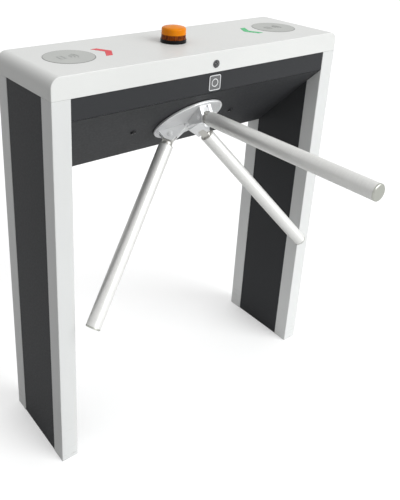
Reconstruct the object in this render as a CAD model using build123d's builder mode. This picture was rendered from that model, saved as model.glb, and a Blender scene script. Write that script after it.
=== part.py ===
from build123d import *
import math
import os

# Waist-high tripod turnstile: a portal of two slim legs and a beam, with a three-arm hub on a
# 45 degree axis under the sloping front of the beam.
# Millimetres, +Z up, origin on the floor in the middle of the four anchor holes.
# +X runs along the beam, -Y is the side that the arms reach out to.

os.makedirs("parts", exist_ok=True)

# ---- driving dimensions ----
LENGTH = 900.0  # over both legs
DEPTH = 262.0  # front of a leg to its back
HEIGHT = 1050.0  # floor to the top of the lid
LEG_W = 47.0
POST_D = 45.5  # light post at the front and back of each leg
POST_WALL = 2.0
LID_SEAM = 998.0  # where the legs end
LID_GAP = 0.5
LID_WALL = 2.0
LID_END_R = 24.0
SHEET = 1.5  # dark cover sheets
RECESS = 1.0  # covers sit back from the posts
BEAM_BOTTOM = 734.0

AXIS_Y = -9.0  # the point where the three arm axes and the hub axis meet
AXIS_Z = 875.0
ARM_COUNT = 3
ARM_ANGLE = 45.0  # between an arm and the hub axis
ARM_R = 19.0
ARM_WALL = 1.5
ARM_TIP = 609.5  # distances along an arm are taken from the meeting point
ARM_START = 114.0
PIN_S = 86.3  # fold pin
PANEL_H = 35.0  # heights along the hub axis are taken from the meeting point, outwards

CONTACT = 0.02  # radial play of pins and rings in their seats
RUNNING = 0.05  # radial play of turning shafts

# ---- derived positions ----
OUTER_X = LENGTH / 2
INNER_X = OUTER_X - LEG_W
FRONT_Y = -DEPTH / 2
BACK_Y = DEPTH / 2
COVER_FRONT = FRONT_Y + RECESS
COVER_BACK = BACK_Y - RECESS
PANEL_HALF = DEPTH / 2 - POST_D
ROOT2 = math.sqrt(2)
SLOPE_SUM = AXIS_Y + AXIS_Z - PANEL_H * ROOT2  # y + z on the outer face of the sloping cover
FOLD_Z = SLOPE_SUM - COVER_FRONT
SLOPE_END_Y = SLOPE_SUM - BEAM_BOTTOM
PIN_R = PIN_S / ROOT2  # distance of a fold pin from the hub axis, and its height along it

HUB = Plane(origin=(0, AXIS_Y, AXIS_Z), x_dir=(1, 0, 0), z_dir=(0, -1, -1))
HUB_AXIS = Axis(HUB.origin, HUB.z_dir)


def arm_side_plane(index):
    """Plane through the hub axis and one arm: x is the distance from the axis, y runs along it."""
    angle = math.radians(90 + index * 360 / ARM_COUNT)
    radial = HUB.x_dir * math.cos(angle) + HUB.y_dir * math.sin(angle)
    return Plane(origin=HUB.origin, x_dir=radial, z_dir=radial.cross(HUB.z_dir))


SIDES = [arm_side_plane(index) for index in range(ARM_COUNT)]


def turned(plane, degrees):
    """The same plane with its x and y directions turned about its own normal."""
    angle = math.radians(degrees)
    x_dir = plane.x_dir * math.cos(angle) + plane.y_dir * math.sin(angle)
    return Plane(origin=plane.origin, x_dir=x_dir, z_dir=plane.z_dir)


def write(builder, name):
    builder.part.label = name
    export_step(builder.part, f"parts/{name}.step")


# ---- legs ----
BOLT_R = 4.0
BOLT_HOLE_R = 4.2
BOLT_HEAD = 5.3
BOLT_FLATS = 13.0
BOLT_SHANK = 7.4
POST_BOLTS = [(-108.0, 975.0), (108.0, 770.0), (108.0, 950.0)]  # y, z of the beam fixings
POST_CORNER = 2.0


def leg_post(side_x, side_y):
    """Closed folded post, standing on the floor; its inner wall takes the beam bolts."""
    centre_x = side_x * (OUTER_X - LEG_W / 2)
    centre_y = side_y * (DEPTH / 2 - POST_D / 2)
    with BuildPart() as post:
        with BuildSketch():
            with Locations((centre_x, centre_y)):
                RectangleRounded(LEG_W, POST_D, POST_CORNER)
                Rectangle(LEG_W - 2 * POST_WALL, POST_D - 2 * POST_WALL, mode=Mode.SUBTRACT)
        extrude(amount=LID_SEAM)
        with BuildSketch(Plane.YZ.offset(side_x * INNER_X)):
            with Locations([point for point in POST_BOLTS if point[0] * side_y > 0]):
                Circle(BOLT_HOLE_R)
        extrude(amount=side_x * 2 * POST_WALL, mode=Mode.SUBTRACT)
    return post


PANEL_GAP = 0.4
PANEL_FLANGE = 12.0
PANEL_FOOT = 1.0
FLANGE_FOOT = 14.0
FLANGE_HEAD = 980.0


def leg_panel(face_x, inwards):
    """Dark cover between two posts: a sheet with a return flange down each long edge."""
    half = PANEL_HALF - PANEL_GAP
    with BuildPart() as panel:
        with BuildSketch(Plane.YZ.offset(face_x)):
            with Locations((0, (PANEL_FOOT + LID_SEAM - PANEL_GAP) / 2)):
                Rectangle(2 * half, LID_SEAM - PANEL_GAP - PANEL_FOOT)
        extrude(amount=inwards * SHEET)
        with BuildSketch(Plane.YZ.offset(face_x)):
            for edge in (-1, 1):
                with Locations((edge * (half - SHEET / 2), (FLANGE_FOOT + FLANGE_HEAD) / 2)):
                    Rectangle(SHEET, FLANGE_HEAD - FLANGE_FOOT)
        extrude(amount=inwards * PANEL_FLANGE)
    return panel


for side_name, side in (("left", -1), ("right", 1)):
    write(leg_post(side, -1), f"{side_name}_front_post")
    write(leg_post(side, 1), f"{side_name}_rear_post")
    write(leg_panel(side * (OUTER_X - RECESS), -side), f"{side_name}_outer_panel")
    write(leg_panel(side * (INNER_X + RECESS), side), f"{side_name}_inner_panel")

# floor plates welded between the posts, with the anchor holes and the cable way
BASE_THICK = 8.0
BASE_W = LEG_W - 2 * (RECESS + SHEET) - 0.6
ANCHOR_R = 7.0
ANCHOR_SPACING_Y = 110.0
LEG_CENTRE_X = OUTER_X - LEG_W / 2
CABLE_HOLE_R = 14.0

with BuildPart() as base_plates:
    with BuildSketch():
        with Locations((-LEG_CENTRE_X, 0), (LEG_CENTRE_X, 0)):
            Rectangle(BASE_W, 2 * PANEL_HALF)
        with GridLocations(2 * LEG_CENTRE_X, ANCHOR_SPACING_Y, 2, 2):
            Circle(ANCHOR_R, mode=Mode.SUBTRACT)
        with Locations((LEG_CENTRE_X, 0)):
            Circle(CABLE_HOLE_R, mode=Mode.SUBTRACT)
    extrude(amount=BASE_THICK)
write(base_plates, "base_plates")

# rubber ring that lines the cable way
GROMMET_LIP_R = 17.0
GROMMET_BORE_R = 10.0
GROMMET_LIP = 2.5
GROMMET_FOOT = 1.0  # the ring stays clear of the floor
GROMMET_ROUND = 1.0

with BuildPart() as cable_grommet:
    with BuildSketch(Plane.XY.offset(GROMMET_FOOT)):
        with Locations((LEG_CENTRE_X, 0)):
            Circle(CABLE_HOLE_R)
    extrude(amount=BASE_THICK - GROMMET_FOOT)
    with BuildSketch(Plane.XY.offset(BASE_THICK)):
        with Locations((LEG_CENTRE_X, 0)):
            Circle(GROMMET_LIP_R)
    extrude(amount=GROMMET_LIP)
    fillet(cable_grommet.edges().group_by(Axis.Z)[-1], GROMMET_ROUND)
    with BuildSketch():
        with Locations((LEG_CENTRE_X, 0)):
            Circle(GROMMET_BORE_R)
    extrude(amount=BASE_THICK + GROMMET_LIP, mode=Mode.SUBTRACT)
write(cable_grommet, "cable_grommet")

# ---- beam frame ----
END_PLATE = 4.0
RAIL = 2.5
RAIL_END_X = INNER_X - END_PLATE
SKIN_FRONT = COVER_FRONT + SHEET
SKIN_BACK = COVER_BACK - SHEET
SKIN_BOTTOM = BEAM_BOTTOM + SHEET
SKIN_SUM = AXIS_Y + AXIS_Z - (PANEL_H - SHEET) * ROOT2  # y + z on the inside of the sloping cover
BEAM_TOP = 996.0

with BuildPart() as beam_end_plates:
    with BuildSketch(Plane.YZ.offset(-INNER_X)):
        with BuildLine():
            Polyline(
                (SKIN_FRONT, BEAM_TOP),
                (SKIN_FRONT, SKIN_SUM - SKIN_FRONT),
                (SKIN_SUM - SKIN_BOTTOM, SKIN_BOTTOM),
                (SKIN_BACK, SKIN_BOTTOM),
                (SKIN_BACK, BEAM_TOP),
                close=True,
            )
        make_face()
        with Locations(POST_BOLTS):
            Circle(BOLT_HOLE_R, mode=Mode.SUBTRACT)
    extrude(amount=END_PLATE)
    mirror(about=Plane.YZ)
write(beam_end_plates, "beam_end_plates")

RAIL_SLOPE = 48.0  # width of the sloping flange that carries the mechanism plate
RAIL_TOP_W = 16.5
RAIL_FOOT_W = 40.0
RAIL_STEP = RAIL * ROOT2
PLATE_BOLT_X = 120.0
PLATE_BOLT_UP = 112.0  # along the slope from the hub axis
PLATE_BOLT_DOWN = -138.0
CATCH_NOTCH = (9.0, 42.0)  # gap in the top flange that the lock cam swings down through

plate_bolt_points = [
    (side * PLATE_BOLT_X, along) for side in (-1, 1) for along in (PLATE_BOLT_UP, PLATE_BOLT_DOWN)
]


def plate_bolt_holes():
    """The four holes that hold the mechanism plate to both rails, as a sketch."""
    with BuildSketch(HUB) as holes:
        with Locations(plate_bolt_points):
            Circle(BOLT_HOLE_R)
    return holes.sketch


with BuildPart() as front_rail:
    with BuildSketch(Plane.YZ.offset(-RAIL_END_X)):
        reach = RAIL_SLOPE / ROOT2
        corner_z = SKIN_SUM - SKIN_FRONT
        web_y = SKIN_FRONT + RAIL
        with BuildLine():
            Polyline(
                (SKIN_FRONT, BEAM_TOP),
                (SKIN_FRONT, corner_z),
                (SKIN_FRONT + reach, corner_z - reach),
                (SKIN_FRONT + reach + RAIL / ROOT2, corner_z - reach + RAIL / ROOT2),
                (web_y, SKIN_SUM + RAIL_STEP - web_y),
                (web_y, BEAM_TOP - RAIL),
                (SKIN_FRONT + RAIL_TOP_W, BEAM_TOP - RAIL),
                (SKIN_FRONT + RAIL_TOP_W, BEAM_TOP),
                close=True,
            )
        make_face()
    extrude(amount=2 * RAIL_END_X)
    notch_y = (web_y + SKIN_FRONT + RAIL_TOP_W) / 2
    with BuildSketch(Plane.XY.offset(BEAM_TOP)):
        with Locations((sum(CATCH_NOTCH) / 2, notch_y)):
            Rectangle(CATCH_NOTCH[1] - CATCH_NOTCH[0], RAIL_TOP_W - RAIL)
    extrude(amount=-RAIL, mode=Mode.SUBTRACT)
    extrude(plate_bolt_holes(), amount=PANEL_H, mode=Mode.SUBTRACT)
write(front_rail, "front_rail")

with BuildPart() as lower_rail:
    with BuildSketch(Plane.YZ.offset(-RAIL_END_X)):
        reach = RAIL_SLOPE / ROOT2
        corner_y = SKIN_SUM - SKIN_BOTTOM
        foot_z = SKIN_BOTTOM + RAIL
        with BuildLine():
            Polyline(
                (corner_y - reach, SKIN_BOTTOM + reach),
                (corner_y, SKIN_BOTTOM),
                (corner_y + RAIL_FOOT_W, SKIN_BOTTOM),
                (corner_y + RAIL_FOOT_W, foot_z),
                (SKIN_SUM + RAIL_STEP - foot_z, foot_z),
                (corner_y - reach + RAIL / ROOT2, SKIN_BOTTOM + reach + RAIL / ROOT2),
                close=True,
            )
        make_face()
    extrude(amount=2 * RAIL_END_X)
    extrude(plate_bolt_holes(), amount=PANEL_H, mode=Mode.SUBTRACT)
write(lower_rail, "lower_rail")

# ---- beam covers ----
COVER_X = INNER_X - 0.4
FOLD_GAP = 1.2
HUB_HOLE_R = 38.0
PANEL_SCREW_X = 166.0
PANEL_SCREW_ALONG = -16.0
PANEL_SCREW_R = 3.0
PANEL_SCREW_HEAD_R = 7.6
COVER_TOP = LID_SEAM - PANEL_GAP
LIP = 14.0

with BuildPart() as upper_front_cover:
    low = FOLD_Z + FOLD_GAP
    with BuildSketch(Plane.XZ.offset(-COVER_FRONT)):
        with Locations((0, (low + COVER_TOP) / 2)):
            Rectangle(2 * COVER_X, COVER_TOP - low)
    extrude(amount=-SHEET)
write(upper_front_cover, "upper_front_cover")

with BuildPart() as sloping_front_cover:
    with BuildSketch(Plane.YZ.offset(-COVER_X)):
        with BuildLine():
            Polyline(
                (COVER_FRONT, FOLD_Z),
                (SLOPE_END_Y, BEAM_BOTTOM),
                (SLOPE_END_Y + LIP, BEAM_BOTTOM),
                (SLOPE_END_Y + LIP, SKIN_BOTTOM),
                (SKIN_SUM - SKIN_BOTTOM, SKIN_BOTTOM),
                (SKIN_SUM - FOLD_Z, FOLD_Z),
                close=True,
            )
        make_face()
    extrude(amount=2 * COVER_X)
    with BuildSketch(HUB):
        Circle(HUB_HOLE_R)
        with Locations((-PANEL_SCREW_X, PANEL_SCREW_ALONG), (PANEL_SCREW_X, PANEL_SCREW_ALONG)):
            Circle(PANEL_SCREW_R + CONTACT)
    extrude(amount=PANEL_H + 1, mode=Mode.SUBTRACT)
write(sloping_front_cover, "sloping_front_cover")

with BuildPart() as rear_cover:
    with BuildSketch(Plane.YZ.offset(-COVER_X)):
        with BuildLine():
            Polyline(
                (SLOPE_END_Y + LIP + FOLD_GAP, BEAM_BOTTOM),
                (COVER_BACK, BEAM_BOTTOM),
                (COVER_BACK, COVER_TOP),
                (SKIN_BACK, COVER_TOP),
                (SKIN_BACK, SKIN_BOTTOM),
                (SLOPE_END_Y + LIP + FOLD_GAP, SKIN_BOTTOM),
                close=True,
            )
        make_face()
    extrude(amount=2 * COVER_X)
write(rear_cover, "rear_cover")

# two visible button-head screws that hold the sloping cover to nuts behind it
SCREW_HEAD = 4.2
SCREW_DOME = 3.4
SOCKET_R = 3.0
SOCKET_DEPTH = 2.2
SCREW_NUT_R = 6.5
SCREW_NUT = 5.0

with BuildPart() as cover_screws:
    screw_points = [(side * PANEL_SCREW_X, PANEL_SCREW_ALONG) for side in (-1, 1)]
    with BuildSketch(HUB.offset(PANEL_H)):
        with Locations(screw_points):
            Circle(PANEL_SCREW_HEAD_R)
    extrude(amount=SCREW_HEAD)
    fillet(cover_screws.edges().filter_by(GeomType.CIRCLE).group_by(HUB_AXIS)[-1], SCREW_DOME)
    with BuildSketch(HUB.offset(PANEL_H + SCREW_HEAD)):
        with Locations(screw_points):
            RegularPolygon(SOCKET_R, 6)
    extrude(amount=-SOCKET_DEPTH, mode=Mode.SUBTRACT)
    with BuildSketch(HUB.offset(PANEL_H)):
        with Locations(screw_points):
            Circle(PANEL_SCREW_R)
    extrude(amount=-SHEET - SCREW_NUT - 1.0)
    with BuildSketch(HUB.offset(PANEL_H - SHEET)):
        with Locations(screw_points):
            RegularPolygon(SCREW_NUT_R, 6)
    extrude(amount=-SCREW_NUT)
write(cover_screws, "cover_screws")

# rounded badge above the hub, with a plain raised rim and ring
BADGE_W = 37.0
BADGE_H = 39.0
BADGE_Z = 971.5
BADGE_THICK = 1.4
BADGE_RIM = 2.2
BADGE_RING_R = 10.5

with BuildPart() as blank_badge:
    with BuildSketch(Plane.XZ.offset(-COVER_FRONT)):
        with Locations((0, BADGE_Z)):
            RectangleRounded(BADGE_W, BADGE_H, 5.0)
    extrude(amount=BADGE_THICK)
    with BuildSketch(Plane.XZ.offset(-COVER_FRONT + BADGE_THICK)):
        with Locations((0, BADGE_Z)):
            RectangleRounded(BADGE_W - 2 * BADGE_RIM, BADGE_H - 2 * BADGE_RIM, 5.0 - BADGE_RIM)
            Circle(BADGE_RING_R, mode=Mode.SUBTRACT)
            Circle(BADGE_RING_R - BADGE_RIM)
    extrude(amount=-0.6, mode=Mode.SUBTRACT)
write(blank_badge, "blank_badge")

# ---- mechanism plate and the bolts of the frame ----
PLATE_FACE = PANEL_H - SHEET - RAIL  # the outer face of the plate lies on the rail flanges
PLATE = 5.0
PLATE_BACK = PLATE_FACE - PLATE
PLATE_X = 145.0
PLATE_TOP = 124.0
PLATE_LOW = -152.0
HOUSING_R = 36.0

with BuildPart() as mechanism_plate:
    with BuildSketch(HUB.offset(PLATE_BACK)):
        with Locations((0, (PLATE_TOP + PLATE_LOW) / 2)):
            RectangleRounded(2 * PLATE_X, PLATE_TOP - PLATE_LOW, 8.0)
        Circle(HOUSING_R + CONTACT, mode=Mode.SUBTRACT)
        with Locations(plate_bolt_points):
            Circle(BOLT_HOLE_R, mode=Mode.SUBTRACT)
    extrude(amount=PLATE)
write(mechanism_plate, "mechanism_plate")


def hex_bolts(planes_and_points):
    """Identical bolts; each plane is the seat of the heads and faces away from the shanks."""
    with BuildPart() as bolts:
        for seat, points in planes_and_points:
            with BuildSketch(seat):
                with Locations(points):
                    RegularPolygon(BOLT_FLATS / 2, 6, major_radius=False)
            extrude(amount=BOLT_HEAD)
            with BuildSketch(seat):
                with Locations(points):
                    Circle(BOLT_R)
            extrude(amount=-BOLT_SHANK)
    return bolts


left_seat = Plane.YZ.offset(-RAIL_END_X)
right_seat = Plane(origin=(RAIL_END_X, 0, 0), x_dir=(0, 1, 0), z_dir=(-1, 0, 0))
right_points = [(y, -z) for y, z in POST_BOLTS]
plate_seat = Plane(origin=HUB.offset(PLATE_BACK).origin, x_dir=HUB.x_dir, z_dir=-HUB.z_dir)
plate_seat_points = [(x, -along) for x, along in plate_bolt_points]
frame_bolts = hex_bolts(
    [(left_seat, POST_BOLTS), (right_seat, right_points), (plate_seat, plate_seat_points)]
)
write(frame_bolts, "frame_bolts")

# ---- bearings of the hub shaft ----
SHAFT_R = 15.0
BEARING_OUT_R = 27.5
BEARING_W = 13.0
RACE_R = 21.25  # pitch radius of the balls
RACE_HALF_GAP = 2.1
BALL_R = 3.6
BALL_COUNT = 9
BEARING_HEIGHTS = (17.0, -25.0)  # middle of each bearing along the hub axis
HOUSING_FLANGE_R = 50.0
HOUSING_FLANGE = 8.0
HOUSING_END = -33.0
HOUSING_BORE_R = 23.0

with BuildPart() as bearing_housing:
    front_seat = BEARING_HEIGHTS[0] - BEARING_W / 2
    rear_seat = BEARING_HEIGHTS[1] + BEARING_W / 2
    with BuildSketch(SIDES[0]):
        with BuildLine():
            Polyline(
                (BEARING_OUT_R, PLATE_FACE),
                (HOUSING_R, PLATE_FACE),
                (HOUSING_R, PLATE_BACK),
                (HOUSING_FLANGE_R, PLATE_BACK),
                (HOUSING_FLANGE_R, PLATE_BACK - HOUSING_FLANGE),
                (HOUSING_R, PLATE_BACK - HOUSING_FLANGE),
                (HOUSING_R, HOUSING_END),
                (BEARING_OUT_R, HOUSING_END),
                (BEARING_OUT_R, rear_seat),
                (HOUSING_BORE_R, rear_seat),
                (HOUSING_BORE_R, front_seat),
                (BEARING_OUT_R, front_seat),
                close=True,
            )
        make_face()
    revolve(axis=HUB_AXIS)
write(bearing_housing, "bearing_housing")


def bearing_rings(inner_r, outer_r):
    """Both rings of one size, each with its ball groove."""
    with BuildPart() as rings:
        for height in BEARING_HEIGHTS:
            with BuildSketch(SIDES[0]):
                with Locations(((inner_r + outer_r) / 2, height)):
                    Rectangle(outer_r - inner_r, BEARING_W)
                with Locations((RACE_R, height)):
                    Circle(BALL_R + RUNNING, mode=Mode.SUBTRACT)
            revolve(axis=HUB_AXIS)
    return rings


write(bearing_rings(RACE_R + RACE_HALF_GAP, BEARING_OUT_R), "bearing_outer_rings")
write(bearing_rings(SHAFT_R, RACE_R - RACE_HALF_GAP), "bearing_inner_rings")

with BuildPart() as bearing_balls:
    for height in BEARING_HEIGHTS:
        with Locations(HUB.offset(height)):
            with PolarLocations(RACE_R, BALL_COUNT):
                Sphere(BALL_R)
write(bearing_balls, "bearing_balls")

# ---- hub ----
FLANGE_R = 98.0
FLANGE_BACK = 36.5
FLANGE_FACE = 42.0
FLANGE_LIP = 43.6
DISH_R = 92.0
BOSS_R = 20.0
BOSS_FOOT = 52.0
BOSS_TOP = 58.0
BOSS_BEVEL = 3.0
SPIGOT_R = 12.5
SPIGOT_TOP = 52.0
SPIGOT_END_GAP = 0.5
CHEEK_OUT = 18.0
CHEEK_OUTLINE = [(18.0, 42.0), (86.0, 42.0), (79.0, 67.0), (65.0, 80.0), (18.0, 62.0)]
CHEEK_IN = 9.5
SLOT_R = 15.5
WEB_R = 81.0  # the web that stops the arm is set back between its cheeks
WEB_FOOT = 44.5
WEB_POCKET = 40.0
PIN_HOLE_R = 5.0
TONGUE_R = 14.0

with BuildPart() as hub_flange:
    with BuildSketch(SIDES[0]):
        with BuildLine():
            Polyline(
                (SPIGOT_R + CONTACT, FLANGE_FACE),
                (SPIGOT_R + CONTACT, FLANGE_BACK),
                (FLANGE_R - 1, FLANGE_BACK),
                (FLANGE_R, FLANGE_BACK + 1),
                (FLANGE_R, FLANGE_LIP - 3),
            )
            RadiusArc((FLANGE_R, FLANGE_LIP - 3), (FLANGE_R - 3, FLANGE_LIP), -3)
            Polyline(
                (FLANGE_R - 3, FLANGE_LIP),
                (DISH_R + 2, FLANGE_LIP),
                (DISH_R, FLANGE_FACE),
                (SPIGOT_R + CONTACT, FLANGE_FACE),
            )
        make_face()
    revolve(axis=HUB_AXIS)
write(hub_flange, "hub_flange")

with BuildPart() as hub_yoke:
    with BuildSketch(SIDES[0]):
        with BuildLine():
            Polyline(
                (0, FLANGE_FACE),
                (DISH_R - 1, FLANGE_FACE),
                (DISH_R - 1, FLANGE_FACE + 1),
                (BOSS_R, BOSS_FOOT),
                (BOSS_R, BOSS_TOP - BOSS_BEVEL),
                (BOSS_R - BOSS_BEVEL, BOSS_TOP),
                (0, BOSS_TOP),
                close=True,
            )
        make_face()
    revolve(axis=HUB_AXIS)
    for side_plane in SIDES:
        with BuildSketch(side_plane):
            with BuildLine():
                Polyline(CHEEK_OUTLINE, close=True)
            make_face()
        extrude(amount=CHEEK_OUT, both=True)
    for side_plane in SIDES:
        with BuildSketch(side_plane):
            with BuildLine():
                edge = SLOT_R / ROOT2
                Polyline(
                    (PIN_R - SLOT_R, PIN_R),
                    (PIN_R - SLOT_R, 130),
                    (PIN_R + edge + 80, 130),
                    (PIN_R + edge, PIN_R - edge),
                    close=True,
                )
            make_face()
            with Locations((PIN_R, PIN_R)):
                Circle(SLOT_R)
            with Locations((WEB_R, WEB_FOOT)):
                Rectangle(WEB_POCKET, WEB_POCKET, align=(Align.MIN, Align.MIN))
        extrude(amount=CHEEK_IN, both=True, mode=Mode.SUBTRACT)
        with BuildSketch(side_plane):
            with Locations((PIN_R, PIN_R)):
                Circle(PIN_HOLE_R + CONTACT)
        extrude(amount=CHEEK_OUT + 1, both=True, mode=Mode.SUBTRACT)
    with BuildSketch(HUB.offset(FLANGE_FACE)):
        Circle(SPIGOT_R + CONTACT)
    extrude(amount=SPIGOT_TOP - FLANGE_FACE, mode=Mode.SUBTRACT)
write(hub_yoke, "hub_yoke")

CAP_R = 12.0
CAP_H = 3.0
CAP_ROUND = 2.0

with BuildPart() as hub_cap:
    with BuildSketch(HUB.offset(BOSS_TOP)):
        Circle(CAP_R)
    extrude(amount=CAP_H)
    fillet(hub_cap.edges().sort_by(HUB_AXIS)[-1], CAP_ROUND)
write(hub_cap, "hub_cap")

PIN_HEAD_R = 7.6
PIN_HEAD = 1.6
PIN_HEAD_TAPER = 30
PIN_CENTRE_R = 4.4
PIN_CENTRE = 1.4
PIN_CENTRE_TAPER = 20

with BuildPart() as arm_pivot_pins:
    for side_plane in SIDES:
        with BuildSketch(side_plane):
            with Locations((PIN_R, PIN_R)):
                Circle(PIN_HOLE_R)
        extrude(amount=CHEEK_OUT, both=True)
        for end in (-1, 1):
            with BuildSketch(side_plane.offset(end * CHEEK_OUT)):
                with Locations((PIN_R, PIN_R)):
                    Circle(PIN_HEAD_R)
            extrude(amount=end * PIN_HEAD, taper=PIN_HEAD_TAPER)
            with BuildSketch(side_plane.offset(end * (CHEEK_OUT + PIN_HEAD))):
                with Locations((PIN_R, PIN_R)):
                    Circle(PIN_CENTRE_R)
            extrude(amount=end * PIN_CENTRE, taper=PIN_CENTRE_TAPER)
write(arm_pivot_pins, "arm_pivot_pins")

# shaft with a shoulder behind the hub flange
SHAFT_END = -92.0
SHAFT_CHAMFER = 1.5

with BuildPart() as hub_shaft:
    with BuildSketch(HUB.offset(SHAFT_END)):
        Circle(SHAFT_R - CONTACT)
    extrude(amount=FLANGE_BACK - SHAFT_END)
    with BuildSketch(HUB.offset(FLANGE_BACK)):
        Circle(SPIGOT_R)
    extrude(amount=SPIGOT_TOP - FLANGE_BACK - SPIGOT_END_GAP)
    chamfer(hub_shaft.edges().group_by(HUB_AXIS)[0], SHAFT_CHAMFER)
write(hub_shaft, "hub_shaft")

# three-lobed index cam; a flat faces the lever at every home position
CAM_TOP = -40.0
CAM_THICK = 12.0
CAM_REACH = 45.0
CAM_LOBE_R = 14.0

with BuildPart() as index_cam:
    with BuildSketch(HUB.offset(CAM_TOP)):
        with PolarLocations(CAM_REACH - CAM_LOBE_R, ARM_COUNT):
            Circle(CAM_LOBE_R)
        make_hull()
        Circle(SHAFT_R, mode=Mode.SUBTRACT)
    extrude(amount=-CAM_THICK)
write(index_cam, "index_cam")

# lock disc with six notches
LOCK_TOP = -58.0
LOCK_THICK = 6.0
LOCK_R = 50.0
NOTCH_W = 12.0
NOTCH_DEPTH = 9.0
NOTCH_COUNT = 6

with BuildPart() as lock_disc:
    with BuildSketch(HUB.offset(LOCK_TOP)):
        Circle(LOCK_R)
        Circle(SHAFT_R, mode=Mode.SUBTRACT)
        with PolarLocations(LOCK_R, NOTCH_COUNT):
            Rectangle(2 * NOTCH_DEPTH, NOTCH_W, mode=Mode.SUBTRACT)
    extrude(amount=-LOCK_THICK)
write(lock_disc, "lock_disc")

# ---- gears ----
MODULE = 2.0
GEAR_TEETH = 54
PINION_TEETH = 18
PRESSURE = math.radians(20)
BACKLASH = 0.24
GEAR_TOP = -72.0
GEAR_W = 10.0
FLANK_POINTS = 4


def involute(angle):
    return math.tan(angle) - angle


def gear_outline(teeth, phase):
    """Draws the closed outline of a spur gear; phase is the direction of one tooth, in radians."""
    pitch_r = MODULE * teeth / 2
    base_r = pitch_r * math.cos(PRESSURE)
    root_r = pitch_r - 1.25 * MODULE
    tip_r = pitch_r + 0.95 * MODULE
    start_r = max(base_r, root_r)
    half_pitch = math.pi / (2 * teeth) - BACKLASH / (4 * pitch_r)

    def flank(tooth_angle, side):
        points = []
        for step in range(FLANK_POINTS):
            radius = start_r + (tip_r - start_r) * step / (FLANK_POINTS - 1)
            lean = involute(PRESSURE) - involute(math.acos(base_r / radius))
            angle = tooth_angle + side * (half_pitch + lean)
            points.append((radius * math.cos(angle), radius * math.sin(angle)))
        return points

    def root_point(tooth_angle, side):
        lean = involute(PRESSURE) - involute(math.acos(base_r / start_r))
        angle = tooth_angle + side * (half_pitch + lean)
        return (root_r * math.cos(angle), root_r * math.sin(angle))

    pitch_angle = 2 * math.pi / teeth
    for tooth in range(teeth):
        centre = phase + tooth * pitch_angle
        rise = flank(centre, -1)
        fall = flank(centre, 1)
        if start_r > root_r:
            Line(root_point(centre, -1), rise[0])
            Line(fall[0], root_point(centre, 1))
        Spline(rise)
        tip = (tip_r * math.cos(centre), tip_r * math.sin(centre))
        ThreePointArc(rise[-1], tip, fall[-1])
        Spline(fall)
        gap = centre + pitch_angle / 2
        middle = (root_r * math.cos(gap), root_r * math.sin(gap))
        ThreePointArc(root_point(centre, 1), middle, root_point(centre + pitch_angle, -1))


DAMPER_TURN = math.radians(-30)  # where the pinion meshes, around the hub axis
HALF_PINION_TOOTH = math.pi / PINION_TEETH
LIGHTENING_R = 9.0

with BuildPart() as main_gear:
    with BuildSketch(HUB.offset(GEAR_TOP)):
        with BuildLine():
            gear_outline(GEAR_TEETH, DAMPER_TURN)
        make_face()
        Circle(SHAFT_R, mode=Mode.SUBTRACT)
        with PolarLocations((SHAFT_R + MODULE * GEAR_TEETH / 2) / 2, 6):
            Circle(LIGHTENING_R, mode=Mode.SUBTRACT)
    extrude(amount=-GEAR_W)
write(main_gear, "main_gear")

# ---- hydraulic damper, driven by the main gear ----
GEAR_CENTRES = MODULE * (GEAR_TEETH + PINION_TEETH) / 2
damper_point = (GEAR_CENTRES * math.cos(DAMPER_TURN), GEAR_CENTRES * math.sin(DAMPER_TURN))
DAMPER = Plane(origin=HUB.from_local_coords((*damper_point, 0)), x_dir=HUB.x_dir, z_dir=HUB.z_dir)
DAMPER_R = 20.0
DAMPER_NECK_R = 17.0
DAMPER_SHOULDER = -14.0
DAMPER_END = -66.0
DAMPER_SHAFT_R = 4.0
DAMPER_SHAFT_TOP = -46.0

with BuildPart() as damper_body:
    with BuildSketch(DAMPER.offset(PLATE_BACK)):
        Circle(DAMPER_NECK_R)
    extrude(amount=DAMPER_SHOULDER - PLATE_BACK)
    with BuildSketch(DAMPER.offset(DAMPER_SHOULDER)):
        Circle(DAMPER_R)
    extrude(amount=DAMPER_END - DAMPER_SHOULDER)
    with BuildSketch(DAMPER.offset(DAMPER_END)):
        Circle(DAMPER_SHAFT_R + RUNNING)
    extrude(amount=DAMPER_SHAFT_TOP - DAMPER_END + 1, mode=Mode.SUBTRACT)
write(damper_body, "damper_body")

with BuildPart() as damper_pinion:
    with BuildSketch(DAMPER.offset(GEAR_TOP)):
        with BuildLine():
            gear_outline(PINION_TEETH, DAMPER_TURN + math.pi + HALF_PINION_TOOTH)
        make_face()
    extrude(amount=-GEAR_W)
    with BuildSketch(DAMPER.offset(GEAR_TOP)):
        Circle(DAMPER_SHAFT_R)
    extrude(amount=DAMPER_SHAFT_TOP - GEAR_TOP)
write(damper_pinion, "damper_pinion")

# ---- index lever with its roller, parked at the height of a cam lobe ----
POST_R = 5.0
ROLLER_R = 11.0
ROLLER_AXLE_R = 4.0
LEVER_PLAY = 0.6
LEVER_TOP = -34.0
LEVER_THICK = 5.0
LEVER_PIVOT = (-60.0, -80.0)
ROLLER_POINT = (-(CAM_REACH + ROLLER_R + LEVER_PLAY), 0.0)
ROLLER_TOP = CAM_TOP - 1.0
ROLLER_THICK = 10.0

with BuildPart() as index_lever:
    with BuildSketch(HUB.offset(LEVER_TOP)):
        with Locations(LEVER_PIVOT):
            Circle(11.0)
        with Locations(ROLLER_POINT):
            Circle(8.0)
        make_hull()
        with Locations(LEVER_PIVOT):
            Circle(POST_R + RUNNING, mode=Mode.SUBTRACT)
    extrude(amount=-LEVER_THICK)
    with BuildSketch(HUB.offset(LEVER_TOP - LEVER_THICK)):
        with Locations(ROLLER_POINT):
            Circle(ROLLER_AXLE_R)
    extrude(amount=ROLLER_TOP - ROLLER_THICK - LEVER_TOP + LEVER_THICK)
write(index_lever, "index_lever")

ROLLER_CHAMFER = 0.6

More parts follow.
